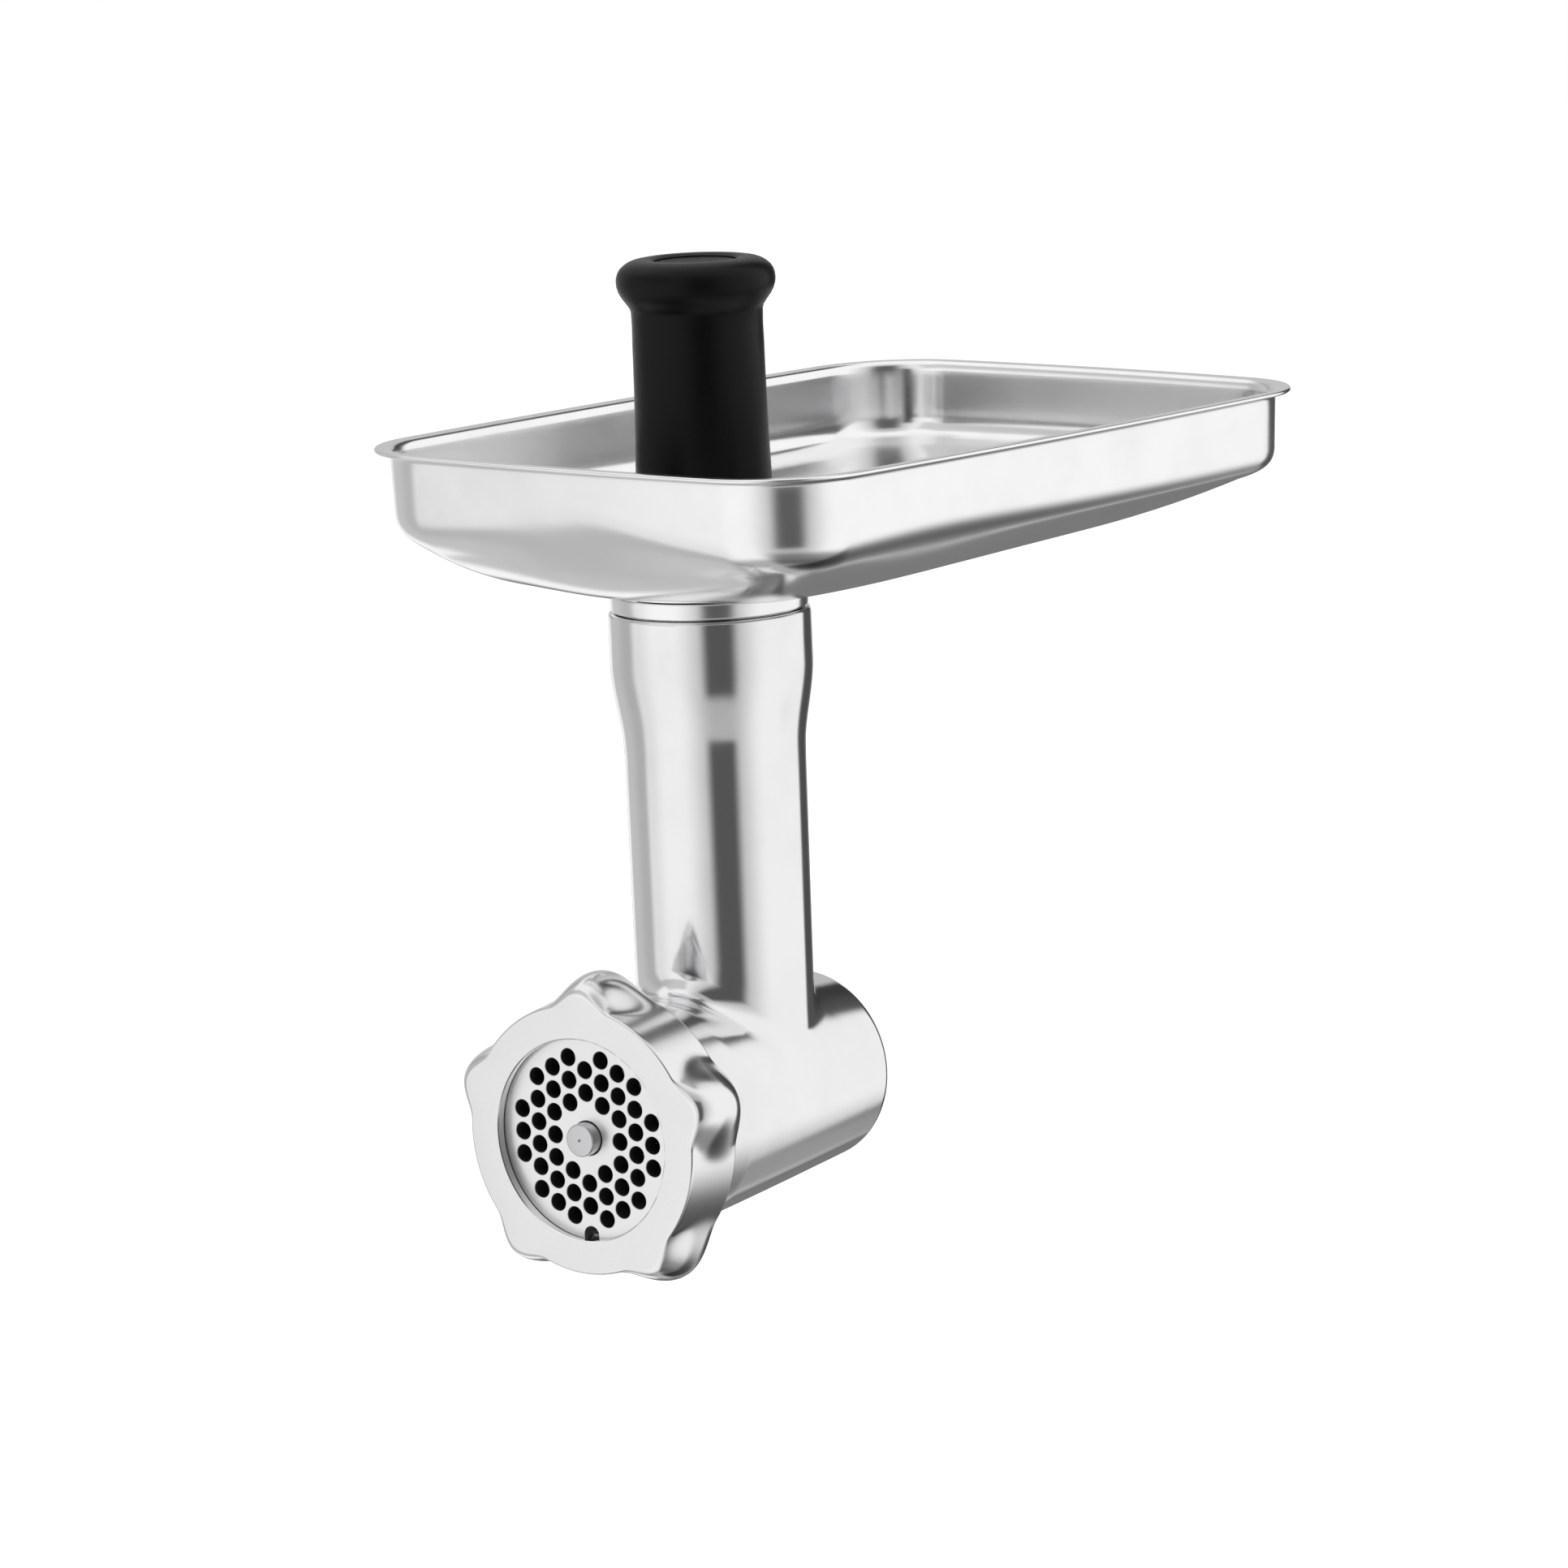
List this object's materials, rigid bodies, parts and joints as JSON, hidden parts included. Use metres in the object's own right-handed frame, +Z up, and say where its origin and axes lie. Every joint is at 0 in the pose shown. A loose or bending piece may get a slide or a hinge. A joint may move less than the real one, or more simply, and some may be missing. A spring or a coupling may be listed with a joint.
{
  "type": "meat grinder head",
  "caption": "Stand-mixer meat grinder head: cast housing with feed tube, auger, knife and perforated plate behind a lobed ring nut, wide feed tray and black pusher.",
  "frame": {"origin": "centre of the seat face that meets the mixer's hub, on the barrel's axis", "axes": "+Y out of the back along the barrel's axis into the mixer, -Y out of the plate, +Z up the feed tube"},
  "size_m": [0.17, 0.2268, 0.2463],
  "materials": {
    "polished_housing": "mirror-polished stainless steel casting",
    "polished_ring": "polished sides, satin turned front face",
    "polished_sheet": "mirror-polished drawn stainless sheet",
    "ground_steel": "fine ground satin",
    "machined_steel": "fine turned",
    "cast_auger": "bead-blasted casting with polished flight crest",
    "fastener_steel": "bright fastener steel",
    "bearing_plastic": "natural acetal, satin",
    "seal_rubber": "black food-grade rubber",
    "pusher_plastic": "black moulded plastic, fine satin grain"
  },
  "bodies": {
    "housing": {"grinder_housing": "polished_housing", "hub_adapter": "machined_steel", "adapter_gasket": "seal_rubber", "adapter_screw_1": "fastener_steel", "adapter_screw_2": "fastener_steel", "adapter_screw_3": "fastener_steel", "shaft_bush": "bearing_plastic", "shaft_seal": "seal_rubber", "plate_key": "fastener_steel"},
    "rotor": {"auger": "cast_auger", "drive_shank": "machined_steel", "shank_cross_pin": "fastener_steel", "thrust_washer": "bearing_plastic", "knife_stud": "machined_steel", "cutting_knife": "ground_steel"},
    "plate": {"grinding_plate": "ground_steel"},
    "ring": {"ring_nut": "polished_ring"},
    "collar": {"tray_collar": "polished_sheet"},
    "tray": {"feed_tray": "polished_sheet"},
    "pusher": {"pusher_body": "pusher_plastic", "pusher_cap": "pusher_plastic"}
  },
  "joints": [
    {"name": "auger_spin", "type": "hinge", "parent": "housing", "child": "rotor", "pos_m": [0, 0, 0], "axis": [0, 1, 0], "continuous": true},
    {"name": "plate_slide", "type": "slide", "parent": "housing", "child": "plate", "axis": [0, -1, 0], "range_m": [0, 0.0125]},
    {"name": "ring_turn", "type": "hinge", "parent": "plate", "child": "ring", "pos_m": [0, 0, 0], "axis": [0, -1, 0], "range_deg": [0, 1800]},
    {"name": "tray_lift", "type": "slide", "parent": "housing", "child": "collar", "axis": [0, 0, 1], "range_m": [0, 0.04]},
    {"name": "tray_turn", "type": "hinge", "parent": "collar", "child": "tray", "pos_m": [0, -0.0372, 0.128], "axis": [0, 0, 1], "continuous": true},
    {"name": "pusher_slide", "type": "slide", "parent": "housing", "child": "pusher", "axis": [0, 0, 1], "range_m": [0, 0.15]}
  ],
  "couplings": [
    {"joint": "plate_slide", "follows": "ring_turn", "m_per_rad": 0.00039789}
  ]
}
